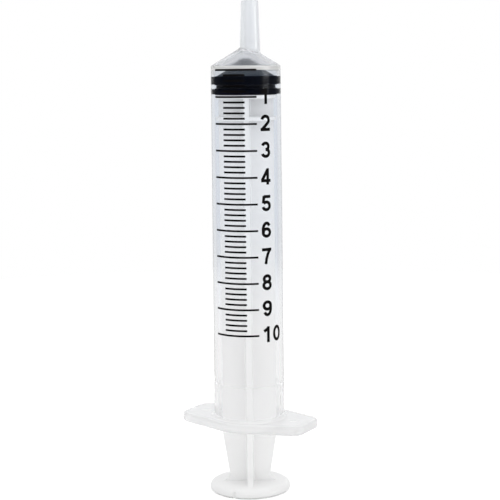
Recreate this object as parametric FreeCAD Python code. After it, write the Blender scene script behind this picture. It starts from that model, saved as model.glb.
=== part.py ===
import FreeCAD, Part
import math
import os

# A 10 mL three-piece syringe, standing on its thumb press with the tip up.
# Millimetres. Z runs up the syringe's axis from the thumb press's lower face, X along the finger flange.
# From the bottom up, the plunger carries the stopper, and the stopper's place sets the barrel's height.

# Plunger, one moulding
thumb_radius = 9.45
thumb_thickness = 2.0
thumb_round_width = 1.5  # the press's upper edge is rounded over this width and this height
thumb_round_height = 1.0
thumb_round_steps = 3
thumb_bevel = 0.45  # lower edge
grip_groove_radii = (3.2, 5.8)  # inner radius of each groove under the thumb
grip_groove_width = 0.6
grip_groove_depth = 0.25
gate_nick_radius = 0.45  # mark where the plastic was fed in, on the press's edge
gate_nick_angle = -23.6  # round the axis, from the rib that faces front
plunger_length = 93.2  # thumb press's lower face to the head disc's upper face
disc_clearance = 0.25  # discs inside the bore
disc_thickness = 0.8
disc_gap = 4.15  # between the two discs
rib_clearance = 0.95  # ribs inside the bore
rib_root = 1.6  # thickness where the ribs cross
rib_edge = 1.25  # thickness at their outer edges
rib_root_round = 0.4
waist_reach = 4.8  # axis to rib edge just above the thumb press
waist_flare = 1.9  # radius with which the ribs run out on the press
taper_top = 13.25  # height at which the ribs are full width
cross_angle = 30.0  # how far the plunger is turned in the barrel
head_neck_radius = 2.5
head_neck_length = 1.2
head_radius = 3.9
head_height = 1.8
head_nose_radius = 1.6
head_nose_height = 1.1

# Stopper, rubber
seal_clearance = 0.03  # sealing ribs inside the bore
groove_depth = 0.4  # groove between the sealing ribs, under their crests
rear_rib_width = 1.5
groove_width = 0.7
front_rib_width = 2.1
seal_bevel = 0.2
stopper_land = 0.6  # flat rim round the foot of the front cone
stopper_nose_radius = 0.9
socket_clearance = 0.06  # round the plunger's head
stopper_back_gap = 0.05  # between the head disc and the stopper

# Barrel, one moulding
bore_radius = 7.25
cone_angle = 31.0  # shoulder cone, from the horizontal
cone_wall = 1.1
cone_flat_radius = 1.0  # flat in the middle of the cone, inside
wall_front = 0.75
wall_rear = 1.0  # the outside widens a little towards the flange
shoulder_bevel = 0.25
chamber_depth = 83.35  # open end to the corner between bore and cone
rest_travel = 1.35  # the stopper can still go this far forward
seat_gap = 0.095  # left above the stopper's rim when it is fully forward
collar_step = 0.09
collar_length = 10.4  # thicker end of the tube, from its open end
mouth_chamfer = 0.5
stop_ring_height = 0.2  # ring in the bore that keeps the stopper in
stop_ring_land = 0.4
stop_ring_ramp = 0.5
flange_half_length = 16.2
flange_middle_radius = 9.8
flange_end_half_width = 6.1
flange_corner_radius = 3.2
flange_thickness = 2.25
flange_bevel = 0.45
flange_root_round = 0.95
flange_gate_radius = 0.9
flange_gate_depth = 0.35
ejector_radius = 1.25
ejector_depth = 0.12
ejector_place = 11.9  # along the flange, from the axis
tip_offset_x = 0.5  # the tip stands a little off the barrel's axis
tip_offset_y = 1.3
tip_reach = 15.6  # corner between bore and cone to the tip's end
tip_end_radius = 1.965
tip_taper = 0.06  # change of diameter for each unit of length
tip_root_round = 0.5
tip_bevel = 0.25
lumen_end_radius = 1.0
lumen_root_radius = 1.1
lumen_start = 0.5  # the lumen's cut starts this far below the cone, in the chamber

rib_sheet_spare = 0.4  # the sheets that cut the ribs to shape are this much thicker than their roots
same_place = 0.01  # edges closer than this to a stated place are taken as being there

# Places that follow
stopper_rear = plunger_length + stopper_back_gap
stopper_length = rear_rib_width + groove_width + front_rib_width
stopper_rim = stopper_rear + stopper_length
seat_z = stopper_rim + rest_travel + seat_gap
barrel_bottom = seat_z - chamber_depth
flange_top = barrel_bottom + flange_thickness
collar_top = barrel_bottom + collar_length
tip_top = seat_z + tip_reach
tip_offset = math.hypot(tip_offset_x, tip_offset_y)
cone_slope = math.tan(math.radians(cone_angle))
cone_lift = cone_wall / math.cos(math.radians(cone_angle))  # cone wall measured along Z
disc_radius = bore_radius - disc_clearance
rib_reach = bore_radius - rib_clearance
head_disc_bottom = plunger_length - disc_thickness
axis = FreeCAD.Vector(0, 0, 1)
middle = FreeCAD.Vector(0, 0, 0)


def turned(outline):
    """Solid made by turning a closed outline of (radius, height) corners round the axis."""
    corners = [FreeCAD.Vector(radius, 0, height) for radius, height in outline]
    face = Part.Face(Part.makePolygon(corners + corners[:1]))
    return face.revolve(middle, axis, 360)


def disc(radius, bottom, thickness):
    return Part.makeCylinder(radius, thickness, FreeCAD.Vector(0, 0, bottom))


def ring_edges(shape, radius, height):
    """The shape's round edges of this radius about the axis, at this height."""
    found = []
    for edge in shape.Edges:
        curve = edge.Curve
        if not isinstance(curve, Part.Circle):
            continue
        if abs(curve.Radius - radius) < same_place and abs(curve.Center.z - height) < same_place:
            found.append(edge)
    return found


def cone_height(radius):
    """Height of the shoulder's inner cone at this distance from the axis."""
    return seat_z + (bore_radius - radius) * cone_slope


def tube_with_cone():
    """The barrel's outside without flange and tip, solid."""
    front = bore_radius + wall_front
    rear = bore_radius + wall_rear
    collar = rear + collar_step
    shoulder = front - shoulder_bevel
    return turned(
        [
            (0, barrel_bottom),
            (collar, barrel_bottom),
            (collar, collar_top - collar_step),
            (rear, collar_top),
            (front, cone_height(shoulder) + cone_lift - shoulder_bevel),
            (shoulder, cone_height(shoulder) + cone_lift),
            (0, cone_height(0) + cone_lift),
        ]
    )


def flange_outline():
    """Plan of the finger flange: an arc round the barrel, straight sides and rounded ends."""
    end_x = flange_half_length - flange_corner_radius
    end_y = flange_end_half_width - flange_corner_radius
    reach = math.hypot(end_x, end_y)
    # direction in which a line touches both the middle arc and the corner arc
    lean = math.atan2(end_y, end_x)
    lean += math.acos((flange_middle_radius - flange_corner_radius) / reach)
    touch = (math.cos(lean), math.sin(lean))

    def at(x, y):
        return FreeCAD.Vector(x, y, 0)

    def quarter(sx, sy):
        """From the middle of a long side to the middle of an end, mirrored by sx and sy."""
        r, c = flange_middle_radius, flange_corner_radius
        side_start = at(sx * r * touch[0], sy * r * touch[1])
        side_end = at(sx * (end_x + c * touch[0]), sy * (end_y + c * touch[1]))
        half = (math.pi / 2 + lean) / 2
        arc_middle = at(sx * r * math.cos(half), sy * r * math.sin(half))
        corner_middle = at(
            sx * (end_x + c * math.cos(lean / 2)), sy * (end_y + c * math.sin(lean / 2))
        )
        corner_end = at(sx * flange_half_length, sy * end_y)
        return [
            Part.Arc(at(0, sy * r), arc_middle, side_start).toShape(),
            Part.makeLine(side_start, side_end),
            Part.Arc(side_end, corner_middle, corner_end).toShape(),
            Part.makeLine(corner_end, at(sx * flange_half_length, 0)),
        ]

    edges = []
    for sx, sy in ((1, 1), (1, -1), (-1, -1), (-1, 1)):
        edges += quarter(sx, sy)
    return Part.Wire(Part.__sortEdges__(edges))


def finger_flange():
    plate = Part.Face(flange_outline()).extrude(FreeCAD.Vector(0, 0, flange_thickness))
    rims = [edge for edge in plate.Edges if edge.BoundBox.ZLength < flange_bevel]
    plate = plate.makeChamfer(flange_bevel, rims)
    plate.translate(FreeCAD.Vector(0, 0, barrel_bottom))
    gate_x = -(flange_half_length + flange_gate_radius - flange_gate_depth)
    gate = Part.makeCylinder(
        flange_gate_radius, flange_thickness, FreeCAD.Vector(gate_x, 0, barrel_bottom)
    )
    plate = plate.cut(gate)
    for side in (-1, 1):
        place = FreeCAD.Vector(side * ejector_place, 0, flange_top - ejector_depth)
        plate = plate.cut(Part.makeCylinder(ejector_radius, flange_thickness, place))
    return plate


def tip_radius(height):
    return tip_end_radius + (tip_top - height) * tip_taper / 2


def tip_outside():
    root = cone_height(tip_offset + tip_radius(seat_z))
    rim = tip_top - tip_bevel
    tip = turned(
        [
            (0, root),
            (tip_radius(root), root),
            (tip_radius(rim), rim),
            (tip_end_radius - tip_bevel, tip_top),
            (0, tip_top),
        ]
    )
    tip.translate(FreeCAD.Vector(tip_offset_x, tip_offset_y, 0))
    return tip


def chamber():
    """The space inside the tube and its cone, with the mouth's lead-in and the stop ring."""
    ring_top = collar_top
    ring_low = ring_top - stop_ring_ramp - stop_ring_land
    inner = bore_radius - stop_ring_height
    return turned(
        [
            (0, barrel_bottom),
            (bore_radius + mouth_chamfer, barrel_bottom),
            (bore_radius, barrel_bottom + mouth_chamfer),
            (bore_radius, ring_low - stop_ring_ramp),
            (inner, ring_low),
            (inner, ring_low + stop_ring_land),
            (bore_radius, ring_top),
            (bore_radius, seat_z),
            (cone_flat_radius, cone_height(cone_flat_radius)),
            (0, cone_height(cone_flat_radius)),
        ]
    )


def lumen():
    """The passage through the tip."""
    root = cone_height(tip_offset + lumen_root_radius) - lumen_start
    place = FreeCAD.Vector(tip_offset_x, tip_offset_y, root)
    return Part.makeCone(lumen_root_radius, lumen_end_radius, tip_top - root, place)


def barrel():
    body = tube_with_cone().fuse(finger_flange())
    collar = bore_radius + wall_rear + collar_step
    body = body.makeFillet(flange_root_round, ring_edges(body, collar, flange_top))
    body = body.fuse(tip_outside())
    root = [
        edge
        for edge in body.Edges
        if edge.BoundBox.ZMin > seat_z + cone_lift
        and not isinstance(edge.Curve, (Part.Line, Part.Circle))
    ]
    body = body.makeFillet(tip_root_round, root)
    return body.cut(chamber()).cut(lumen())


def thumb_press():
    outline = [(0, 0), (thumb_radius - thumb_bevel, 0), (thumb_radius, thumb_bevel)]
    for step in range(thumb_round_steps + 1):
        # quarter of an ellipse in a few straight steps, which keeps the facets few
        angle = math.radians(90 * step / thumb_round_steps)
        radius = thumb_radius - thumb_round_width * (1 - math.cos(angle))
        outline.append((radius, thumb_thickness - thumb_round_height * (1 - math.sin(angle))))
    press = turned(outline + [(0, thumb_thickness)])
    for inner in grip_groove_radii:
        outer = inner + grip_groove_width
        groove = disc(outer, 0, grip_groove_depth).cut(disc(inner, 0, grip_groove_depth))
        press = press.cut(groove)
    angle = math.radians(gate_nick_angle)
    place = FreeCAD.Vector(thumb_radius * math.sin(angle), -thumb_radius * math.cos(angle), 0)
    return press.cut(Part.makeCylinder(gate_nick_radius, thumb_thickness, place))


def crossed_ribs(bottom, top):
    """Four ribs as one straight prism, thicker at the middle, longer than any rib is."""
    reach = thumb_radius
    corners = []
    for quarter in range(4):
        turn = FreeCAD.Rotation(axis, 90 * quarter)
        slope = (rib_root - rib_edge) / 2 / rib_reach
        half_far = rib_root / 2 - slope * reach
        for x, y in ((reach, -half_far), (reach, half_far), (rib_root / 2, rib_root / 2)):
            corners.append(turn.multVec(FreeCAD.Vector(x, y, bottom)))
    prism = Part.Face(Part.makePolygon(corners + corners[:1])).extrude(axis * (top - bottom))
    inner = [
        edge
        for edge in prism.Edges
        if edge.BoundBox.ZLength > rib_root
        and math.hypot(edge.CenterOfMass.x, edge.CenterOfMass.y) < rib_root
    ]
    return prism.makeFillet(rib_root_round, inner)


def rib_sheet(bottom, top):
    """Outline of two opposite ribs as a thick sheet in the XZ plane: flare, waist, taper, full width."""
    thickness = rib_root + 2 * rib_root_round + rib_sheet_spare
    foot = thumb_thickness
    waist = foot + waist_flare
    slant = waist_flare * math.sqrt(0.5)

    def at(x, z):
        return FreeCAD.Vector(x, -thickness / 2, z)

    edges = []
    for side in (-1, 1):
        foot_end = at(side * (waist_reach + waist_flare), foot)
        flare_middle = at(side * (waist_reach + waist_flare - slant), waist - slant)
        edges.append(Part.makeLine(at(side * (waist_reach + waist_flare), bottom), foot_end))
        edges.append(Part.Arc(foot_end, flare_middle, at(side * waist_reach, waist)).toShape())
        edges.append(Part.makeLine(at(side * waist_reach, waist), at(side * rib_reach, taper_top)))
        edges.append(Part.makeLine(at(side * rib_reach, taper_top), at(side * rib_reach, top)))
    edges.append(Part.makeLine(at(-rib_reach, top), at(rib_reach, top)))
    foot_x = waist_reach + waist_flare
    edges.append(Part.makeLine(at(-foot_x, bottom), at(foot_x, bottom)))
    face = Part.Face(Part.Wire(Part.__sortEdges__(edges)))
    return face.extrude(FreeCAD.Vector(0, thickness, 0))


def plunger_ribs():
    bottom = thumb_thickness / 2
    top = head_disc_bottom + disc_thickness / 2
    sheet = rib_sheet(bottom, top)
    other = sheet.copy()
    other.rotate(middle, axis, 90)
    return crossed_ribs(bottom, top).common(sheet.fuse(other))


def plunger_head():
    """Neck, mushroom head and blunt nose that snap into the stopper."""
    ledge = plunger_length + head_neck_length + stopper_back_gap + socket_clearance
    top = ledge + head_height
    return turned(
        [
            (0, head_disc_bottom),
            (head_neck_radius, head_disc_bottom),
            (head_neck_radius, ledge),
            (head_radius, ledge),
            (head_radius, top),
            (head_nose_radius, top + head_nose_height),
            (0, top + head_nose_height),
        ]
    )


def plunger():
    body = thumb_press().fuse(plunger_ribs())
    lower_disc = disc(disc_radius, head_disc_bottom - disc_gap - disc_thickness, disc_thickness)
    body = body.fuse([lower_disc, disc(disc_radius, head_disc_bottom, disc_thickness), plunger_head()])
    body = body.removeSplitter()
    body.rotate(middle, axis, cross_angle)
    return body


def socket():
    """The space in the stopper that the plunger's head fills."""
    ledge = stopper_rear + head_neck_length
    top = ledge + head_height + 2 * socket_clearance
    neck = head_neck_radius + socket_clearance
    head = head_radius + socket_clearance
    nose = head_nose_radius + socket_clearance
    return turned(
        [
            (0, stopper_rear),
            (neck, stopper_rear),
            (neck, ledge),
            (head, ledge),
            (head, top),
            (nose, top + head_nose_height),
            (0, top + head_nose_height),
        ]
    )


def stopper():
    crest = bore_radius - seal_clearance
    groove = crest - groove_depth
    rear_top = stopper_rear + rear_rib_width
    front_low = rear_top + groove_width
    cone_foot = crest - stopper_land
    nose_z = stopper_rim + (cone_foot - stopper_nose_radius) * cone_slope
    outline = [(0, stopper_rear)]
    for low, high in ((stopper_rear, rear_top), (front_low, stopper_rim)):
        outline += [
            (crest - seal_bevel, low),
            (crest, low + seal_bevel),
            (crest, high - seal_bevel),
            (crest - seal_bevel, high),
        ]
        if high == rear_top:
            outline += [(groove, rear_top), (groove, front_low)]
    outline += [(cone_foot, stopper_rim), (stopper_nose_radius, nose_z), (0, nose_z)]
    return turned(outline).cut(socket())


os.makedirs("parts", exist_ok=True)
for name, make in (("barrel", barrel), ("plunger", plunger), ("stopper", stopper)):
    shape = make()
    shape.exportStep("parts/" + name + ".step")
    box = shape.BoundBox
    print(name, "solids", len(shape.Solids), "valid", shape.isValid(), "volume", round(shape.Volume, 1))
    print("  z", round(box.ZMin, 3), round(box.ZMax, 3), "x", round(box.XMin, 3), round(box.XMax, 3))
print("zero line at", round(stopper_rim + rest_travel, 3))
print("mm per mL", round(1000 / math.pi / bore_radius ** 2, 3))
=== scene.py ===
import math

import bmesh
import bpy
import numpy as np
from mathutils import Matrix, Vector


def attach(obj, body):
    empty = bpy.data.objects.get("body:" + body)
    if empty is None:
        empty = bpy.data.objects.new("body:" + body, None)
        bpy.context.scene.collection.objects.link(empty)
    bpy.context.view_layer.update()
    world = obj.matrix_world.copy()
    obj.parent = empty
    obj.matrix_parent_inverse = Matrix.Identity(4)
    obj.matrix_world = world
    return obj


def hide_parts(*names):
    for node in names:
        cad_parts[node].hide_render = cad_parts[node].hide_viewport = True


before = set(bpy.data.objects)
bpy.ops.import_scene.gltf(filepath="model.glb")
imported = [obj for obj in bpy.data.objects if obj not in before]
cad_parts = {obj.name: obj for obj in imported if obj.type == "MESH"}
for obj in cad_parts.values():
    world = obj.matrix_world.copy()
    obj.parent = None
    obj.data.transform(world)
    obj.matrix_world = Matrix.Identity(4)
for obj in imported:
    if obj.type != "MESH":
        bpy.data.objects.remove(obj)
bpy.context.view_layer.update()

mm = 0.001

# Shared sizes, in millimetres, as in the part's source. Z is up the syringe, the scale faces -Y.
shared = {
    "boreRadius": 7.25,
    "frontWall": 0.75,
    "rearWall": 1.0,
    "zeroLine": 98.9,
    "millilitre": 6.056,
    "coneAngle": 31.0,
    "coneWall": 1.1,
    "seatZ": 98.995,
    "collarTop": 26.045,
}
coneSlope = math.tan(math.radians(shared["coneAngle"]))
coneLift = shared["coneWall"] / math.cos(math.radians(shared["coneAngle"]))


def coneHeight(radius):
    # height of the inner shoulder cone: rises with a fixed slope from the bore's edge to the axis
    return shared["seatZ"] + (shared["boreRadius"] - radius) * coneSlope


def tubeRadius(z):
    # outside of the tube: straight from the rear radius at the collar to the front one at the zero line
    front = shared["boreRadius"] + shared["frontWall"]
    rear = shared["boreRadius"] + shared["rearWall"]
    return rear + (front - rear) * (z - shared["collarTop"]) / (shared["zeroLine"] - shared["collarTop"])


def meshFrom(name, points, faces, sharpAngle=40.0):
    # a smooth mesh from points in millimetres; six times its volume is the sum of a . (b x c) over its
    # triangles, and if that comes out negative the faces are turned round, so that they point outwards
    points = np.asarray(points, dtype=float)
    first = np.array([face[:3] for face in faces])
    a, b, c = points[first[:, 0]], points[first[:, 1]], points[first[:, 2]]
    volume = np.einsum("ij,ij->i", a, np.cross(b, c)).sum()
    extra = [face for face in faces if len(face) == 4]
    if extra:
        extra = np.array(extra)
        a, b, c = points[extra[:, 0]], points[extra[:, 2]], points[extra[:, 3]]
        volume += np.einsum("ij,ij->i", a, np.cross(b, c)).sum()
    if volume < 0:
        faces = [tuple(face[::-1]) for face in faces]
    mesh = bpy.data.meshes.new(name)
    mesh.from_pydata((points * mm).tolist(), [], faces)
    mesh.polygons.foreach_set("use_smooth", np.ones(len(faces), dtype=bool))
    mesh.set_sharp_from_angle(angle=math.radians(sharpAngle))
    mesh.update()
    return mesh


def addObject(name, mesh, material, body):
    # an object at the origin that rides on one body of the frame
    thing = bpy.data.objects.new(name, mesh)
    bpy.context.scene.collection.objects.link(thing)
    mesh.materials.append(material)
    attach(thing, body)
    return thing


def gridFaces(rows, columns, wrapRows):
    # quads of a grid whose columns always wrap round; the last row joins the first if wrapRows
    row = np.arange(rows if wrapRows else rows - 1)[:, None]
    column = np.arange(columns)[None, :]
    nextRow = (row + 1) % rows
    nextColumn = (column + 1) % columns
    quads = np.stack(
        [
            row * columns + column,
            row * columns + nextColumn,
            nextRow * columns + nextColumn,
            nextRow * columns + column,
        ],
        axis=-1,
    )
    return quads.reshape(-1, 4).tolist()


def bend(start, corner, end, steps):
    # rounded corner: a quadratic curve from start to end that leans on the corner, without its first point
    t = np.linspace(0, 1, steps + 1)[1:, None]
    start, corner, end = (np.asarray(point, dtype=float) for point in (start, corner, end))
    return list((1 - t) ** 2 * start + 2 * t * (1 - t) * corner + t ** 2 * end)


def turnedMesh(name, outline, columns=160):
    # a solid turned round the axis: each (radius, height) of the outline becomes a ring, its ends are poles
    outline = np.asarray(outline, dtype=float)
    angle = np.linspace(0, 2 * math.pi, columns, endpoint=False)
    rings = outline[1:-1]
    points = np.empty((len(rings), columns, 3))
    points[..., 0] = rings[:, None, 0] * np.cos(angle)
    points[..., 1] = rings[:, None, 0] * np.sin(angle)
    points[..., 2] = rings[:, None, 1]
    points = points.reshape(-1, 3)
    faces = gridFaces(len(rings), columns, False)
    top, low = len(points), len(points) + 1
    points = np.vstack([points, [0, 0, outline[0, 1]], [0, 0, outline[-1, 1]]])
    column = np.arange(columns)
    following = (column + 1) % columns
    last = (len(rings) - 1) * columns
    faces += [(top, int(b), int(a)) for a, b in zip(column, following)]
    faces += [(low, last + int(a), last + int(b)) for a, b in zip(column, following)]
    return meshFrom(name, points, faces)


def newMaterial(name):
    # a material with its tree and its one shader
    material = bpy.data.materials.new(name)
    material.use_nodes = True
    return material, material.node_tree, material.node_tree.nodes["Principled BSDF"]


# mottle is how far the colour drifts and spread how far the roughness does; grain and wave are bump depths
# in metres, scale is the clouds per metre; over a band of heights, in metres, a low colour gives way to the
# base colour: painted light, which makes a part lighter or darker with its height
finishes = {
    # the thin wall of the tube, bluish at the top and painted paler and colourless towards the bottom:
    # painted light that makes the lower tube brighter
    "clearWall": {
        "Base Color": (0.93, 0.955, 0.995, 1),
        "paintedLightLowColour": (0.98, 0.98, 0.985, 1), "paintedLightHeights": (0.035, 0.065),
        "Roughness": 0.12, "IOR": 1.18, "Transmission Weight": 1.0,
        "mottle": 0.01, "spread": 0.03, "grain": 0.0, "wave": 0.0000015, "scale": 160.0,
    },
    # the thicker parts of the same moulding, which look cloudier
    "tipWall": {
        "Base Color": (0.862, 0.88, 0.906, 1), "Roughness": 0.14, "IOR": 1.33, "Transmission Weight": 0.62,
        "Coat Weight": 0.4, "Coat Roughness": 0.04,
        "mottle": 0.02, "spread": 0.05, "grain": 0.0, "wave": 0.000008, "scale": 300.0,
    },
    "coneWall": {
        "Base Color": (0.94, 0.948, 0.972, 1), "Roughness": 0.2, "IOR": 1.3, "Transmission Weight": 0.93,
        "mottle": 0.02, "spread": 0.04, "grain": 0.0, "wave": 0.0000025, "scale": 300.0,
    },
    # the shoulder's band: its darker base colour is painted shade
    "shoulderWall": {
        "Base Color": (0.70, 0.70, 0.695, 1), "Roughness": 0.2, "IOR": 1.49, "Transmission Weight": 0.35,
        "mottle": 0.02, "spread": 0.05, "grain": 0.0, "wave": 0.000008, "scale": 300.0,
    },
    # the short length of tube in front of the stopper
    "seatWall": {
        "Base Color": (0.82, 0.83, 0.845, 1), "Roughness": 0.12, "IOR": 1.18, "Transmission Weight": 0.95,
        "mottle": 0.02, "spread": 0.04, "grain": 0.0, "wave": 0.000008, "scale": 260.0,
    },
    "collarWall": {
        "Base Color": (0.95, 0.95, 0.955, 1), "Roughness": 0.12, "IOR": 1.18, "Transmission Weight": 0.84,
        "mottle": 0.01, "spread": 0.05, "grain": 0.0, "wave": 0.000008, "scale": 260.0,
    },
    "flangeWall": {
        "Base Color": (0.88, 0.88, 0.885, 1), "Roughness": 0.18, "IOR": 1.42, "Transmission Weight": 0.5,
        "Coat Weight": 0.8, "Coat Roughness": 0.06,
        "mottle": 0.04, "spread": 0.08, "grain": 0.0, "wave": 0.00005, "scale": 330.0,
    },
    "milkyPlastic": {
        "Base Color": (0.97, 0.97, 0.97, 1), "Roughness": 0.36, "IOR": 1.49, "Transmission Weight": 0.2,
        "mottle": 0.02, "spread": 0.08, "grain": 0.000004, "wave": 0.000015, "scale": 260.0,
    },
    # black rubber; its nose, above the front rib, has a lighter bluish base colour, a painted reflection of
    # light from above, while the ribs keep the near-black low colour
    "blackRubber": {
        "Base Color": (0.02, 0.032, 0.048, 1),
        "paintedLightLowColour": (0.001, 0.002, 0.006, 1), "paintedLightHeights": (0.09735, 0.09765),
        "Roughness": 0.4, "IOR": 1.4, "Specular IOR Level": 0.05,
        "mottle": 0.3, "spread": 0.1, "grain": 0.000012, "wave": 0.0, "scale": 400.0,
    },
    "printInk": {
        "Base Color": (0.004, 0.003, 0.003, 1), "Roughness": 0.6, "Specular IOR Level": 0.06,
        "mottle": 0.5, "spread": 0.1, "grain": 0.000003, "wave": 0.0, "scale": 900.0,
    },
}


def mathNode(tree, operation, first, second):
    # one Math node; each input is a number or the output of another node
    node = tree.nodes.new("ShaderNodeMath")
    node.operation = operation
    for socket, value in zip(node.inputs, (first, second)):
        if isinstance(value, (int, float)):
            socket.default_value = value
        else:
            tree.links.new(value, socket)
    return node.outputs[0]


def makeSurface():
    # a moulded surface: colour and roughness drift in soft clouds, its height is slow waves with a fine grain
    group = bpy.data.node_groups.new("mouldedSurface", "ShaderNodeTree")
    for name, kind in (("Colour", "Color"), ("Mottle", "Float"), ("Roughness", "Float"), ("Spread", "Float"),
                       ("Wave", "Float"), ("Grain", "Float"), ("Scale", "Float")):
        group.interface.new_socket(name, in_out="INPUT", socket_type="NodeSocket" + kind)
    for name, kind in (("Colour", "Color"), ("Roughness", "Float"), ("Height", "Float")):
        group.interface.new_socket(name, in_out="OUTPUT", socket_type="NodeSocket" + kind)
    given = group.nodes.new("NodeGroupInput")
    result = group.nodes.new("NodeGroupOutput")
    place = group.nodes.new("ShaderNodeTexCoord").outputs["Object"]

    def clouds(scale, detail):
        noise = group.nodes.new("ShaderNodeTexNoise")
        group.links.new(place, noise.inputs["Vector"])
        group.links.new(scale, noise.inputs["Scale"])
        noise.inputs["Detail"].default_value = detail
        return noise.outputs["Fac"]

    broad = clouds(given.outputs["Scale"], 3.0)
    other = clouds(mathNode(group, "MULTIPLY", given.outputs["Scale"], 2.3), 2.0)
    fine = clouds(mathNode(group, "MULTIPLY", given.outputs["Scale"], 14.0), 1.0)
    # colour x (1 - mottle x clouds), and roughness + spread x (clouds - 0.5)
    shade = mathNode(group, "SUBTRACT", 1.0, mathNode(group, "MULTIPLY", broad, given.outputs["Mottle"]))
    colour = group.nodes.new("ShaderNodeVectorMath")
    colour.operation = "SCALE"
    group.links.new(given.outputs["Colour"], colour.inputs[0])
    group.links.new(shade, colour.inputs["Scale"])
    group.links.new(colour.outputs["Vector"], result.inputs["Colour"])
    drift = mathNode(group, "MULTIPLY", mathNode(group, "SUBTRACT", other, 0.5), given.outputs["Spread"])
    group.links.new(mathNode(group, "ADD", given.outputs["Roughness"], drift), result.inputs["Roughness"])
    waves = mathNode(group, "MULTIPLY", broad, given.outputs["Wave"])
    grains = mathNode(group, "MULTIPLY", fine, given.outputs["Grain"])
    group.links.new(mathNode(group, "ADD", waves, grains), result.inputs["Height"])
    return group


surface = makeSurface()


def makeFinish(name, letsLightIn=False):
    # the shader's values come from finishes; the surface group varies its colour, roughness and height
    material, tree, shader = newMaterial(name)
    s = finishes[name]
    for socket in shader.inputs.keys():
        if socket in s:
            shader.inputs[socket].default_value = s[socket]
    look = tree.nodes.new("ShaderNodeGroup")
    look.node_tree = surface
    look.inputs["Colour"].default_value = s["Base Color"]
    for socket in ("Roughness", "Mottle", "Spread", "Wave", "Grain", "Scale"):
        look.inputs[socket].default_value = s[socket if socket in s else socket.lower()]
    # painted light: under the band of heights the low colour, above it the base colour
    if "paintedLightLowColour" in s:
        place = tree.nodes.new("ShaderNodeTexCoord")
        height = tree.nodes.new("ShaderNodeSeparateXYZ")
        tree.links.new(place.outputs["Object"], height.inputs[0])
        rise = tree.nodes.new("ShaderNodeMapRange")
        rise.inputs["From Min"].default_value, rise.inputs["From Max"].default_value = s["paintedLightHeights"]
        tree.links.new(height.outputs["Z"], rise.inputs["Value"])
        paintedLightMix = tree.nodes.new("ShaderNodeMix")
        paintedLightMix.data_type = "RGBA"
        tree.links.new(rise.outputs["Result"], paintedLightMix.inputs["Factor"])
        paintedLightMix.inputs["A"].default_value = s["paintedLightLowColour"]
        paintedLightMix.inputs["B"].default_value = s["Base Color"]
        tree.links.new(paintedLightMix.outputs["Result"], look.inputs["Colour"])
    tree.links.new(look.outputs["Colour"], shader.inputs["Base Color"])
    tree.links.new(look.outputs["Roughness"], shader.inputs["Roughness"])
    bump = tree.nodes.new("ShaderNodeBump")
    bump.inputs["Distance"].default_value = 1.0
    tree.links.new(look.outputs["Height"], bump.inputs["Height"])
    tree.links.new(bump.outputs["Normal"], shader.inputs["Normal"])
    if letsLightIn:
        # light on its way to a lit surface or a lamp passes unbent
        path = tree.nodes.new("ShaderNodeLightPath")
        lit = mathNode(tree, "MINIMUM", path.outputs["Diffuse Depth"], 1.0)
        passing = mathNode(tree, "MAXIMUM", lit, path.outputs["Is Shadow Ray"])
        tree.links.new(mathNode(tree, "SUBTRACT", 1.0, passing), shader.inputs["Alpha"])
    return material


wallNames = ("clearWall", "tipWall", "coneWall", "shoulderWall", "collarWall", "flangeWall", "seatWall")
wallFinishes = [makeFinish(name, True) for name in wallNames]
milky = makeFinish("milkyPlastic")
rubber = makeFinish("blackRubber")
ink = makeFinish("printInk", True)

barrelSizes = {
    "columns": 352,
    "crowding": 0.45,  # how much closer the columns stand at the flange's ends
    "bottom": 15.645,
    "collarStep": 0.05,
    "collarStepLength": 0.7,
    "collarStepRise": 0.15,  # the step starts this far above the collar
    "collarFinishRise": 0.2,  # and the collar's finish this far above it
    "mouthChamfer": 0.5,
    "mouthRound": 0.1,
    "mouthRoundInner": 0.08,
    "shoulderRound": 0.25,
    "shoulderDrop": 0.1,
    "cornerDrop": 0.15,  # the outside has a ring this far under the seat, where its two finishes meet
    "seatRound": 0.2,  # between bore and cone
    "seatCorner": 0.25,
    "seatFinishLow": 97.75,
    "seatFinishDrop": 0.1,  # outside, the seat's finish starts this far under the seat
    "shoulderFinishRise": 0.25,  # inside, the shoulder's finish starts this far above the seat
    "ringHeight": 0.03,
    "ringLand": 0.4,
    "ringRamp": 0.7,
    "flangeThickness": 2.25,
    "flangeHalfLength": 16.2,
    "flangeMiddle": 9.8,
    "flangeEndHalfWidth": 6.1,
    "flangeCorner": 3.2,
    "flangeRound": 0.75,
    "rootRound": 0.95,
    "rootSpare": 0.03,
    "gateRadius": 0.9,
    "gateDepth": 0.35,
    "ejectorRadius": 1.25,
    "ejectorDepth": 0.02,
    "ejectorSlope": 0.16,
    "ejectorPlace": 11.9,
    "tipX": 0.5,
    "tipY": 1.3,
    "tipTop": 114.595,
    "tipEnd": 1.965,
    "tipTaper": 0.03,
    "tipBevel": 0.25,
    "tipRoot": 0.55,
    "tipFootHeight": 3.0,  # above the seat, where the tip's width at its foot is taken
    "tipFootReach": 3.6,  # from the barrel's axis to where the tip's finish starts on the cone
    "lumenEnd": 1.0,
    "lumenRoot": 1.1,
    "lumenBevel": 0.12,
    "coneFlat": 1.0,  # nearer the axis than this the inner cone rises no further
    "sharpAngle": 38.0,
}


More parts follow.
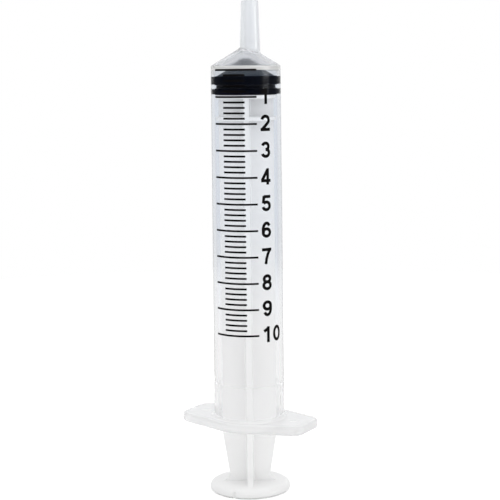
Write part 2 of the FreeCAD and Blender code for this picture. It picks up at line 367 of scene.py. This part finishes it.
def flangeOutline(angle):
    # distance from the axis to the flange's edge: middle arc, straight sides, corner arcs and straight ends
    s = barrelSizes
    endX = s["flangeHalfLength"] - s["flangeCorner"]
    endY = s["flangeEndHalfWidth"] - s["flangeCorner"]
    lean = math.atan2(endY, endX)
    lean += math.acos((s["flangeMiddle"] - s["flangeCorner"]) / math.hypot(endX, endY))
    corner = np.linspace(0, lean, 200)
    middle = np.linspace(lean, math.pi / 2, 200)
    cornerX, cornerY = endX + s["flangeCorner"] * np.cos(corner), endY + s["flangeCorner"] * np.sin(corner)
    x = np.concatenate([[s["flangeHalfLength"]], cornerX, s["flangeMiddle"] * np.cos(middle)])
    y = np.concatenate([[0], cornerY, s["flangeMiddle"] * np.sin(middle)])
    # points between the ends of the straight runs, so that the polar table follows them
    dense = np.linspace(0, 1, 12)[:-1, None]
    stretch = np.stack([x, y], axis=1)
    points = (stretch[:-1][:, None] * (1 - dense) + stretch[1:][:, None] * dense).reshape(-1, 2)
    points = np.vstack([points, stretch[-1]])
    table = np.arctan2(points[:, 1], points[:, 0])
    folded = np.abs((angle + math.pi) % (2 * math.pi) - math.pi)
    folded = np.minimum(folded, math.pi - folded)
    return np.interp(folded, table, np.hypot(points[:, 0], points[:, 1]))


def barrelRows():
    # the barrel's skin as closed rings, from the tip's end down the outside, round the flange and up the
    # inside; a ring's angle is u - c/2 sin(2u), so that its points crowd at the flange's ends
    s = barrelSizes
    u = np.linspace(0, 2 * math.pi, s["columns"], endpoint=False)
    angle = u - s["crowding"] / 2 * np.sin(2 * u)
    across = np.stack([np.cos(angle), np.sin(angle)], axis=1)
    tip = np.array([s["tipX"], s["tipY"]])
    bottom, collarTop = s["bottom"], shared["collarTop"]
    flangeTop = bottom + s["flangeThickness"]
    front = shared["boreRadius"] + shared["frontWall"]
    rear = shared["boreRadius"] + shared["rearWall"]
    collar = rear + s["collarStep"]
    bore = shared["boreRadius"]

    def ring(radius, z, centre=(0.0, 0.0)):
        row = np.empty((len(angle), 3))
        row[:, :2] = centre + across * np.broadcast_to(radius, angle.shape)[:, None]
        row[:, 2] = z
        return row

    def mixRows(start, end, steps):
        # rows in equal steps after start, up to end
        return [start * (1 - k) + end * k for k in np.linspace(0, 1, steps + 1)[1:]]

    def onCone(row, lift, flat=0.0):
        # sets each point's height to the cone's at its own distance from the axis
        row = row.copy()
        row[:, 2] = coneHeight(np.maximum(np.hypot(row[:, 0], row[:, 1]), flat)) + lift
        return row

    def tipRadius(z):
        return s["tipEnd"] + (s["tipTop"] - z) * s["tipTaper"]

    rows = []
    # end of the tip, from the lumen outwards
    face, rim = s["tipEnd"] - s["tipBevel"], s["tipTop"] - s["tipBevel"]
    rows.append(ring(s["lumenEnd"] + s["lumenBevel"], s["tipTop"], tip))
    rows += mixRows(rows[-1], ring(face, s["tipTop"], tip), 2)
    for radius, z in bend((face, s["tipTop"]), (s["tipEnd"], s["tipTop"]), (tipRadius(rim), rim), 5):
        rows.append(ring(radius, z, tip))
    # the tip's wall down to the fillet at its foot, whose height follows the cone
    foot = tipRadius(shared["seatZ"] + s["tipFootHeight"])
    wallFoot = onCone(ring(foot, 0, tip), coneLift)
    wallEnd = wallFoot.copy()
    wallEnd[:, 2] += s["tipRoot"]
    rows += mixRows(rows[-1], wallEnd, 14)
    outer = onCone(ring(foot + s["tipRoot"], 0, tip), coneLift)
    for k in np.linspace(0, 1, 7)[1:]:
        rows.append((1 - k) ** 2 * wallEnd + 2 * k * (1 - k) * wallFoot + k ** 2 * outer)
    # shoulder cone
    shoulder = front - s["shoulderRound"]
    for row in mixRows(outer, ring(shoulder, 0), 12):
        rows.append(onCone(row, coneLift))
    top = coneHeight(shoulder) + coneLift
    lower = top - s["shoulderDrop"]
    for radius, z in bend((shoulder, top), (front, lower), (front, lower - s["shoulderRound"]), 5):
        rows.append(ring(radius, z))
    # tube, collar step and collar
    start = rows[-1][0, 2]
    corner = shared["seatZ"] - s["cornerDrop"]
    stepTop = collarTop + s["collarStepRise"]
    tube = np.linspace(s["seatFinishLow"], stepTop, 25)
    for z in np.concatenate([np.linspace(start, corner, 3)[1:], tube]):
        rows.append(ring(tubeRadius(z), z))
    for k in np.linspace(0, 1, 12)[1:]:
        ease = k * k * (3 - 2 * k)
        rows.append(ring(rear + ease * s["collarStep"], stepTop - s["collarStepLength"] * k))
    rows += mixRows(rows[-1], ring(collar, flangeTop + s["rootRound"]), 4)
    # fillet on to the flange; it stops short of the flange's edge on the narrow sides. The edge has a round
    # notch at one end, at the distance p cos(a) - sqrt(r^2 - (p sin(a))^2), a line's crossing with a circle
    edge = flangeOutline(angle)
    notchPlace = s["flangeHalfLength"] + s["gateRadius"] - s["gateDepth"]
    fromNotch = angle - math.pi
    under = s["gateRadius"] ** 2 - (notchPlace * np.sin(fromNotch)) ** 2
    notch = notchPlace * np.cos(fromNotch) - np.sqrt(np.maximum(under, 0))
    notch = np.where((under > 0) & (np.cos(fromNotch) > 0), notch, edge)
    outline = ring(edge, 0)
    along = np.roll(outline, -1, axis=0) - np.roll(outline, 1, axis=0)
    outward = np.stack([along[:, 1], -along[:, 0], 0 * along[:, 0]], axis=1)
    outward /= np.linalg.norm(outward, axis=1)[:, None]
    outline = ring(np.minimum(edge, notch), 0)
    inner = outline - outward * s["flangeRound"]
    innerReach = np.hypot(inner[:, 0], inner[:, 1])
    filletEnd = np.minimum(collar + s["rootRound"], innerReach - s["rootSpare"])
    for k in np.linspace(0, math.pi / 2, 11)[1:]:
        radius = collar + (filletEnd - collar) * (1 - math.cos(k))
        rows.append(ring(radius, flangeTop + s["rootRound"] * (1 - math.sin(k))))
    inner[:, 2] = flangeTop
    flat = mixRows(rows[-1], inner, 34)
    for row in flat:
        for side in (-1, 1):
            # round ejector marks: a shallow step with a narrow slope
            away = np.hypot(row[:, 0] - side * s["ejectorPlace"], row[:, 1])
            sunk = (s["ejectorRadius"] + s["ejectorSlope"] / 2 - away) / s["ejectorSlope"]
            row[:, 2] -= s["ejectorDepth"] * np.clip(sunk, 0, 1)
    rows += flat
    # rounded edge, side and underside
    for k in np.linspace(0, math.pi / 2, 7)[1:]:
        row = outline - outward * s["flangeRound"] * (1 - math.sin(k))
        row[:, 2] = flangeTop - s["flangeRound"] * (1 - math.cos(k))
        rows.append(row)
    low = outline.copy()
    low[:, 2] = bottom + s["flangeRound"]
    rows += mixRows(rows[-1], low, 2)
    for k in np.linspace(0, math.pi / 2, 7)[1:]:
        row = outline - outward * s["flangeRound"] * (1 - math.cos(k))
        row[:, 2] = bottom + s["flangeRound"] * (1 - math.sin(k))
        rows.append(row)
    mouth = bore + s["mouthChamfer"]
    lip, turnIn = mouth + s["mouthRound"], s["mouthRoundInner"]
    rows += mixRows(rows[-1], ring(lip, bottom), 12)
    for radius, z in bend((lip, bottom), (mouth, bottom), (mouth - turnIn, bottom + turnIn), 3):
        rows.append(ring(radius, z))
    rows += mixRows(rows[-1], ring(bore, bottom + s["mouthChamfer"]), 2)
    # bore with the ring that keeps the stopper in
    ringLength = 2 * s["ringRamp"] + s["ringLand"]
    ringLow = collarTop - ringLength
    rows += mixRows(rows[-1], ring(bore, ringLow), 4)
    for k in np.linspace(0, 1, 13)[1:]:
        swell = 0.5 - 0.5 * math.cos(2 * math.pi * k)
        rows.append(ring(bore - s["ringHeight"] * swell, ringLow + ringLength * k))
    boreEnd = shared["seatZ"] - s["seatRound"]
    rows += mixRows(rows[-1], ring(bore, boreEnd), 24)
    corner = (bore - s["seatCorner"], coneHeight(bore - s["seatCorner"]))
    for radius, z in bend((bore, boreEnd), (bore, shared["seatZ"]), corner, 4):
        rows.append(ring(radius, z))
    # inner cone to the lumen's mouth, then up the lumen
    for row in mixRows(rows[-1], ring(s["lumenRoot"], 0, tip), 14):
        rows.append(onCone(row, 0, s["coneFlat"]))
    rows += mixRows(rows[-1], ring(s["lumenEnd"], s["tipTop"] - s["lumenBevel"], tip), 10)
    return np.stack(rows)


def buildBarrel():
    # joins the rings, the last to the first, and gives each band of faces the finish of its middle's height
    s = barrelSizes
    rows = barrelRows()
    faces = gridFaces(rows.shape[0], rows.shape[1], True)
    mesh = meshFrom("barrelMesh", rows.reshape(-1, 3), faces, s["sharpAngle"])
    barrel = addObject("clearBarrel", mesh, wallFinishes[0], "barrel")
    for finish in wallFinishes[1:]:
        mesh.materials.append(finish)
    # inside, the shoulder's finish stops at the corner and the seat's isn't used
    middles = (rows[:, 0, 2] + np.roll(rows[:, 0, 2], -1)) / 2
    flangeTop = s["bottom"] + s["flangeThickness"] + 0.5 * s["rootRound"]
    shoulderTop = coneHeight(shared["boreRadius"] + shared["frontWall"]) + coneLift
    tipFoot = coneHeight(s["tipFootReach"]) + coneLift
    collarEnd = shared["collarTop"] + s["collarFinishRise"]
    seatEnd = shared["seatZ"] - s["seatFinishDrop"]
    bounds = [flangeTop, collarEnd, s["seatFinishLow"], seatEnd, shoulderTop, tipFoot]
    clear, tip, cone, shoulder, collar, flange, seat = range(len(wallNames))
    upward = np.array([flange, collar, clear, seat, shoulder, cone, tip], dtype=np.int32)
    kinds = upward[np.searchsorted(bounds, middles)]
    inside = np.arange(len(kinds)) > np.argmin(middles)
    shoulderEnd = shared["seatZ"] + s["shoulderFinishRise"]
    kinds[inside & (kinds == shoulder) & (middles > shoulderEnd)] = cone
    kinds[inside & (kinds == seat)] = clear
    mesh.polygons.foreach_set("material_index", np.repeat(kinds, rows.shape[1]))
    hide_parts("barrel")
    print("barrel", rows.shape)


buildBarrel()

stopperSizes = {
    "rear": 93.25,
    "rearRib": 1.5,
    "groove": 0.7,
    "frontRib": 2.1,
    "crest": 7.262,  # pressed a little into the wall, so that no film of air shows
    "grooveDepth": 0.44,
    "crestRound": 0.25,
    "land": 0.6,
    "landRound": 0.15,
    "grooveSpare": 0.02,
    "noseRadius": 0.9,
    "noseRound": 0.25,
    "neck": 2.56,
    "ledge": 94.45,
    "head": 3.96,
    "headTop": 96.37,
    "socketNose": 1.66,
    "socketTop": 97.47,
}


def buildStopper():
    # the outline runs from the nose over both ribs, back along the rear face and up into the socket
    s = stopperSizes
    rearTop = s["rear"] + s["rearRib"]
    frontLow = rearTop + s["groove"]
    rim = frontLow + s["frontRib"]
    crest, deep, r = s["crest"], s["crest"] - s["grooveDepth"], s["crestRound"]
    foot, tipEdge, noseRound = crest - s["land"], s["noseRadius"], s["noseRound"]
    nose = rim + (foot - tipEdge) * coneSlope
    outline = [(0, nose), (tipEdge - noseRound, nose)]
    outline += bend(outline[-1], (tipEdge, nose), (tipEdge + noseRound, nose - noseRound * coneSlope), 4)
    outline += [(foot - (foot - tipEdge) * k, rim + (nose - rim) * k) for k in (0.6, 0.3, 0.05)]
    outline += bend(outline[-1], (foot, rim), (foot + s["landRound"], rim), 3)
    outline += [(crest - r, rim)]
    outline += bend((crest - r, rim), (crest, rim), (crest, rim - r), 5)
    outline += [(crest, frontLow + r)]
    outline += bend((crest, frontLow + r), (crest, frontLow), (crest - r, frontLow), 5)
    outline += [(deep, frontLow - s["grooveSpare"]), (deep, rearTop + s["grooveSpare"]), (crest - r, rearTop)]
    outline += bend((crest - r, rearTop), (crest, rearTop), (crest, rearTop - r), 5)
    outline += [(crest, s["rear"] + r)]
    outline += bend((crest, s["rear"] + r), (crest, s["rear"]), (crest - r, s["rear"]), 5)
    outline += [(s["neck"], s["rear"]), (s["neck"], s["ledge"]), (s["head"], s["ledge"])]
    outline += [(s["head"], s["headTop"]), (s["socketNose"], s["socketTop"]), (0, s["socketTop"])]
    stopper = addObject("rubberStopper", turnedMesh("stopperMesh", outline), rubber, "stopper")
    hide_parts("stopper")
    print("stopper", len(outline), "rings")


buildStopper()

plungerSizes = {"mergeDistance": 0.002, "flatAngle": 0.6, "bevel": 0.12, "sharpAngle": 40.0}


def buildPlunger():
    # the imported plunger's own shape: a merged copy with its sharp edges softened
    s = plungerSizes
    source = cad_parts["plunger"]
    mesh = source.data.copy()
    mesh.transform(source.matrix_world)
    plunger = bpy.data.objects.new("plungerMoulding", mesh)
    bpy.context.scene.collection.objects.link(plunger)
    shape = bmesh.new()
    shape.from_mesh(mesh)
    bmesh.ops.remove_doubles(shape, verts=shape.verts, dist=s["mergeDistance"] * mm)
    flat = math.radians(s["flatAngle"])
    bmesh.ops.dissolve_limit(shape, angle_limit=flat, verts=shape.verts, edges=shape.edges)
    shape.to_mesh(mesh)
    shape.free()
    mesh.materials.clear()
    mesh.materials.append(milky)
    mesh.polygons.foreach_set("use_smooth", np.ones(len(mesh.polygons), dtype=bool))
    mesh.set_sharp_from_angle(angle=math.radians(s["sharpAngle"]))
    soften = plunger.modifiers.new("softEdges", "BEVEL")
    soften.width = s["bevel"] * mm
    soften.segments = 2
    soften.limit_method = "ANGLE"
    soften.angle_limit = math.radians(s["sharpAngle"])
    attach(plunger, "plunger")
    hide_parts("plunger")
    print("plunger", len(mesh.polygons), "faces")


buildPlunger()

printSizes = {
    "scaleCentre": 9.0,  # degrees round from -Y towards +X
    "longHalf": 38.3,  # degrees from a line's middle to its end
    "shortHalf": 18.75,
    "line": 0.44,
    "numberStart": 53.5,  # degrees, as for the scale
    "numberRise": 0.2,  # how far a number's middle stands above its line
    "numberHeight": 3.7,
    "numberWidth": 2.5,
    "numberAdvance": 2.75,
    "stroke": 0.72,
    "lift": 0.012,
    "thickness": 0.02,
    "steps": 50,  # five to the millilitre
    "sharpAngle": 30.0,
}


def wrap(u, v, lift):
    # puts a flat drawing on the tube: u runs round it in millimetres from -Y towards +X, v is the height
    radius = tubeRadius(v) + lift
    angle = u / (shared["boreRadius"] + shared["frontWall"])
    return np.stack([radius * np.sin(angle), -radius * np.cos(angle), v], axis=-1)


def ribbon(path, width, closed=False):
    # a flat band of constant width along a path in the drawing, as a closed strip of small thickness
    s = printSizes
    path = np.asarray(path, dtype=float)
    if closed:
        along = np.roll(path, -1, axis=0) - np.roll(path, 1, axis=0)
    else:
        along = np.gradient(path, axis=0)
    side = np.stack([-along[:, 1], along[:, 0]], axis=1)
    side /= np.linalg.norm(side, axis=1)[:, None]
    left, right = path + side * width / 2, path - side * width / 2
    low, high = s["lift"], s["lift"] + s["thickness"]
    rows = np.stack(
        [
            wrap(left[:, 0], left[:, 1], high),
            wrap(right[:, 0], right[:, 1], high),
            wrap(right[:, 0], right[:, 1], low),
            wrap(left[:, 0], left[:, 1], low),
        ],
        axis=1,
    )
    faces = gridFaces(len(path), 4, closed)
    if not closed:
        last = (len(path) - 1) * 4
        faces += [[0, 1, 2, 3], [last + 3, last + 2, last + 1, last]]
    return rows.reshape(-1, 3), faces


def arc(cx, cy, rx, ry, start, end, steps=28):
    # part of an ellipse between two angles in degrees
    angle = np.radians(np.linspace(start, end, steps))
    return np.stack([cx + rx * np.cos(angle), cy + ry * np.sin(angle)], axis=1)


def line(*corners):
    # straight runs with a few points on each, so that they bend with the tube
    corners = np.asarray(corners, dtype=float)
    t = np.linspace(0, 1, 7)[:, None]
    return np.vstack([a * (1 - t) + b * t for a, b in zip(corners[:-1], corners[1:])])


def digitStrokes(digit):
    # centre lines of the bold numerals, each with whether it is closed, in a box of their own width and
    # height; the small numbers are the drawing's own, in millimetres or as shares of the height
    w, h, t = printSizes["numberWidth"], printSizes["numberHeight"], printSizes["stroke"]
    left, right, base, top, mid = t / 2, w - t / 2, t / 2, h - t / 2, w / 2
    bowl = (right - left) / 2
    if digit == "0":
        return [(arc(mid, h / 2, bowl, (top - base) / 2, 0, 360, 49)[:-1], True)]
    if digit == "1":
        stem = line((mid + 0.15, h), (mid + 0.15, 0))
        flag = line((mid + 0.15, top - 0.05), (left - 0.05, 0.70 * h))
        return [(stem, False), (flag, False)]
    if digit == "2":
        head = arc(mid, top - bowl, bowl, bowl, 170, -32)
        body = np.vstack([head, line(head[-1], (left + 0.12, base + 0.1))[1:]])
        return [(body, False), (line((0, base), (w, base)), False)]
    if digit == "3":
        upper = arc(mid - 0.05, top - 0.20 * h, bowl * 0.88, 0.20 * h, 165, -90)
        lower = arc(mid, base + 0.215 * h, bowl, 0.215 * h, 90, -165)
        return [(upper, False), (lower, False)]
    if digit == "4":
        upright = w * 0.68
        return [
            (line((upright, h), (upright, 0)), False),
            (line((upright - 0.05, top + 0.1), (left - 0.12, 0.27 * h)), False),
            (line((0, 0.25 * h), (w, 0.25 * h)), False),
        ]
    if digit == "5":
        head = line((w - 0.12, top), (left + 0.28, top))
        stem = line((left + 0.30, top + 0.2), (left + 0.10, 0.50 * h))
        body = arc(mid, base + 0.235 * h, bowl, 0.235 * h, 140, -165)
        return [(head, False), (stem, False), (body, False)]
    if digit == "6":
        body = arc(mid, base + 0.225 * h, bowl, 0.225 * h, 0, 360, 41)[:-1]
        back = arc(mid, h / 2, bowl, (top - base) / 2, 35, 215)
        return [(body, True), (back, False)]
    if digit == "7":
        head = line((0, top), (w, top))
        bendX, bendY = (right - 0.05, mid + 0.25, mid - 0.1, mid - 0.28), (top, 0.62 * h, 0.32 * h, 0.0)
        t, k = np.linspace(0, 1, 20), np.linspace(0, 1, 4)
        leg = np.stack([np.interp(t, k, bendX), np.interp(t, k, bendY)], axis=1)
        return [(head, False), (leg, False)]
    if digit == "8":
        upper = arc(mid, top - 0.19 * h, bowl * 0.88, 0.19 * h, 0, 360, 41)[:-1]
        lower = arc(mid, base + 0.215 * h, bowl, 0.215 * h, 0, 360, 41)[:-1]
        return [(upper, True), (lower, True)]
    # nine is the six turned by half a turn
    return [(np.array([w, h]) - path, closed) for path, closed in digitStrokes("6")]


def buildPrint():
    # every fifth line of the scale is long and has its number beside it, from 1
    s = printSizes
    radius = shared["boreRadius"] + shared["frontWall"]
    points, faces = [], []

    def add(strip):
        offset = sum(len(part) for part in points)
        points.append(strip[0])
        faces.extend([[index + offset for index in face] for face in strip[1]])

    for step in range(s["steps"] + 1):
        half = s["longHalf"] if step % 5 == 0 else s["shortHalf"]
        z = shared["zeroLine"] - step / 5 * shared["millilitre"]
        u = np.radians(np.linspace(s["scaleCentre"] - half, s["scaleCentre"] + half, 25)) * radius
        add(ribbon(np.stack([u, np.full_like(u, z)], axis=1), s["line"]))
    for number in range(1, 11):
        z = shared["zeroLine"] - number * shared["millilitre"] - s["numberHeight"] / 2 + s["numberRise"]
        start = math.radians(s["numberStart"]) * radius
        for place, digit in enumerate(str(number)):
            for path, closed in digitStrokes(digit):
                add(ribbon(path + np.array([start + place * s["numberAdvance"], z]), s["stroke"], closed))
    mesh = meshFrom("scaleMesh", np.vstack(points), faces, s["sharpAngle"])
    printed = addObject("printedScale", mesh, ink, "barrel")
    print("print", len(faces), "faces")


buildPrint()

stageSizes = {
    "floorRadius": 0.35,
    "floorColour": 0.78,
    "floorGlow": 0.3,
    "worldDiffuse": 1.08,
    "worldLift": 0.22,
    "frontRoom": 0.15,  # share of its light that the room's dim side keeps in reflections
    # cosines of the angle to the dim side's middle: dimming starts at the first and is full at the second
    "frontBlend": (-0.9, -0.4),
    "highRoom": (0.84, 0.85, 0.86, 1),
    "lowRoom": (0.84, 0.84, 0.84, 1),
    "roomBlend": (-0.2, 0.02),  # sines of the height over which the low colour gives way to the high one
}


def buildFloor():
    # a round table top; past its rim the room goes on in the same white
    angle = np.linspace(0, 2 * math.pi, 96, endpoint=False)
    rim = np.stack([np.cos(angle), np.sin(angle), 0 * angle], axis=1) * stageSizes["floorRadius"]
    mesh = bpy.data.meshes.new("floorMesh")
    mesh.from_pydata(rim.tolist(), [], [list(range(len(rim)))])
    floor = bpy.data.objects.new("floor", mesh)
    bpy.context.scene.collection.objects.link(floor)
    material, tree, shader = newMaterial("paleFloor")
    shader.inputs["Base Color"].default_value = (*[stageSizes["floorColour"]] * 3, 1)
    shader.inputs["Roughness"].default_value = 1.0
    shader.inputs["Specular IOR Level"].default_value = 0.0
    path = tree.nodes.new("ShaderNodeLightPath")
    shader.inputs["Emission Color"].default_value = (1, 1, 1, 1)
    glow = mathNode(tree, "MULTIPLY", path.outputs["Is Camera Ray"], stageSizes["floorGlow"])
    tree.links.new(glow, shader.inputs["Emission Strength"])
    mesh.materials.append(material)


def buildWorld():
    # white where the camera looks past the object; plain, and a little stronger from above, for the light
    # that falls on it; pale through the clear plastic; in reflections, a pale room on one side and a dim one
    # on the other, where the photograph was taken from
    s = stageSizes
    world = bpy.data.worlds.new("studio")
    bpy.context.scene.world = world
    world.use_nodes = True
    tree = world.node_tree
    background = tree.nodes["Background"]
    path = tree.nodes.new("ShaderNodeLightPath")
    place = tree.nodes.new("ShaderNodeTexCoord")
    toward = tree.nodes.new("ShaderNodeVectorMath")
    toward.operation = "DOT_PRODUCT"
    turn = math.radians(cameraSizes["azimuth"])
    toward.inputs[1].default_value = (math.sin(turn), -math.cos(turn), 0)
    tree.links.new(place.outputs["Generated"], toward.inputs[0])
    room = tree.nodes.new("ShaderNodeMapRange")
    room.interpolation_type = "SMOOTHSTEP"
    room.inputs["From Min"].default_value, room.inputs["From Max"].default_value = s["frontBlend"]
    room.inputs["To Max"].default_value = 1.0 - s["frontRoom"]
    tree.links.new(toward.outputs["Value"], room.inputs["Value"])
    height = tree.nodes.new("ShaderNodeSeparateXYZ")
    tree.links.new(place.outputs["Generated"], height.inputs[0])
    rise = tree.nodes.new("ShaderNodeMapRange")
    rise.inputs["From Min"].default_value, rise.inputs["From Max"].default_value = s["roomBlend"]
    tree.links.new(height.outputs["Z"], rise.inputs["Value"])
    tint = tree.nodes.new("ShaderNodeMix")
    tint.data_type = "RGBA"
    tree.links.new(rise.outputs["Result"], tint.inputs["Factor"])
    tint.inputs["A"].default_value = s["lowRoom"]
    tint.inputs["B"].default_value = s["highRoom"]
    lit = mathNode(tree, "MINIMUM", path.outputs["Diffuse Depth"], 1.0)
    plain = mathNode(tree, "MAXIMUM", path.outputs["Is Camera Ray"], lit)
    colour = tree.nodes.new("ShaderNodeMix")
    colour.data_type = "RGBA"
    tree.links.new(plain, colour.inputs["Factor"])
    tree.links.new(tint.outputs["Result"], colour.inputs["A"])
    colour.inputs["B"].default_value = (1, 1, 1, 1)
    tree.links.new(colour.outputs["Result"], background.inputs["Color"])
    # strength: the room's for reflected and refracted rays, 1 for the camera, and for light on surfaces
    # worldDiffuse + worldLift x height
    bounced = mathNode(tree, "MINIMUM", path.outputs["Glossy Depth"], 1.0)
    dimming = mathNode(tree, "MULTIPLY", bounced, room.outputs["Result"])
    roomShare = mathNode(tree, "SUBTRACT", mathNode(tree, "SUBTRACT", 1.0, dimming), plain)
    roomShare = mathNode(tree, "MAXIMUM", roomShare, 0.0)
    lift = mathNode(tree, "MULTIPLY", height.outputs["Z"], s["worldLift"])
    litShare = mathNode(tree, "MULTIPLY", lit, mathNode(tree, "ADD", lift, s["worldDiffuse"]))
    total = mathNode(tree, "ADD", mathNode(tree, "ADD", roomShare, litShare), path.outputs["Is Camera Ray"])
    tree.links.new(total, background.inputs["Strength"])


cameraSizes = {
    "azimuth": 30.0,  # degrees round from -Y towards +X
    "distance": 310.0,
    "height": 98.74,
    "pitch": 7.63,
    "yaw": 0.10,
    "roll": -0.65,
    "focal": 1340.8,  # in pixels of the frame
    "frame": 500.0,
    "sensor": 36.0,
}


def buildCamera():
    # looks along the horizontal line to the axis turned by yaw and pitch, and is rolled about that line
    s = cameraSizes
    yaw, pitch, roll, turn = (math.radians(s[key]) for key in ("yaw", "pitch", "roll", "azimuth"))
    ahead = Vector((math.sin(yaw) * math.cos(pitch), math.cos(yaw) * math.cos(pitch), -math.sin(pitch)))
    level = Vector((math.cos(yaw), -math.sin(yaw), 0))
    upright = level.cross(ahead)
    right = level * math.cos(roll) + upright * math.sin(roll)
    up = upright * math.cos(roll) - level * math.sin(roll)
    frameMatrix = Matrix((right, up, -ahead)).transposed()
    spin = Matrix.Rotation(turn, 3, "Z")
    lens = bpy.data.cameras.new("photoCamera")
    lens.sensor_fit = "HORIZONTAL"
    lens.sensor_width = s["sensor"]
    lens.lens = s["focal"] * s["sensor"] / s["frame"]
    lens.clip_start = 0.01
    lens.clip_end = 20.0
    camera = bpy.data.objects.new("photoCamera", lens)
    bpy.context.scene.collection.objects.link(camera)
    place = spin @ Vector((0, -s["distance"], s["height"])) * mm
    camera.matrix_world = Matrix.Translation(place) @ (spin @ frameMatrix).to_4x4()
    bpy.context.scene.camera = camera


# places in metres as the camera sees them: to its right, towards it, and up from the floor
lampSizes = {
    # wide and weak, over all of it
    "keyBox": {
        "place": (0.85, 0.31, 0.30), "targetHeight": 0.06, "width": 0.45, "height": 0.7, "power": 0.4,
        "reflectionOnly": False,
    },
    # stronger; its lower edge is level with the stopper, so it shows above that only
    "highBox": {
        "place": (0.85, 0.31, 0.222), "targetHeight": 0.222, "width": 0.36, "height": 0.25, "power": 1.5,
        "reflectionOnly": True,
    },
}


def buildLamp(name):
    # a rectangular lamp that faces the axis
    s = lampSizes[name]
    turn = math.radians(cameraSizes["azimuth"])
    right, toward, up = s["place"]
    place = Vector((
        right * math.cos(turn) + toward * math.sin(turn),
        right * math.sin(turn) - toward * math.cos(turn),
        up,
    ))
    lamp = bpy.data.lights.new(name, "AREA")
    lamp.shape = "RECTANGLE"
    lamp.size = s["width"]
    lamp.size_y = s["height"]
    lamp.energy = s["power"]
    box = bpy.data.objects.new(name, lamp)
    bpy.context.scene.collection.objects.link(box)
    box.visible_diffuse = not s["reflectionOnly"]
    box.location = place
    ahead = Vector((0, 0, s["targetHeight"])) - place
    box.rotation_euler = ahead.to_track_quat("-Z", "Y").to_euler()


buildFloor()
buildWorld()
buildCamera()
for name in lampSizes:
    buildLamp(name)
bpy.context.scene.view_settings.view_transform = "Standard"
print("stage and camera")
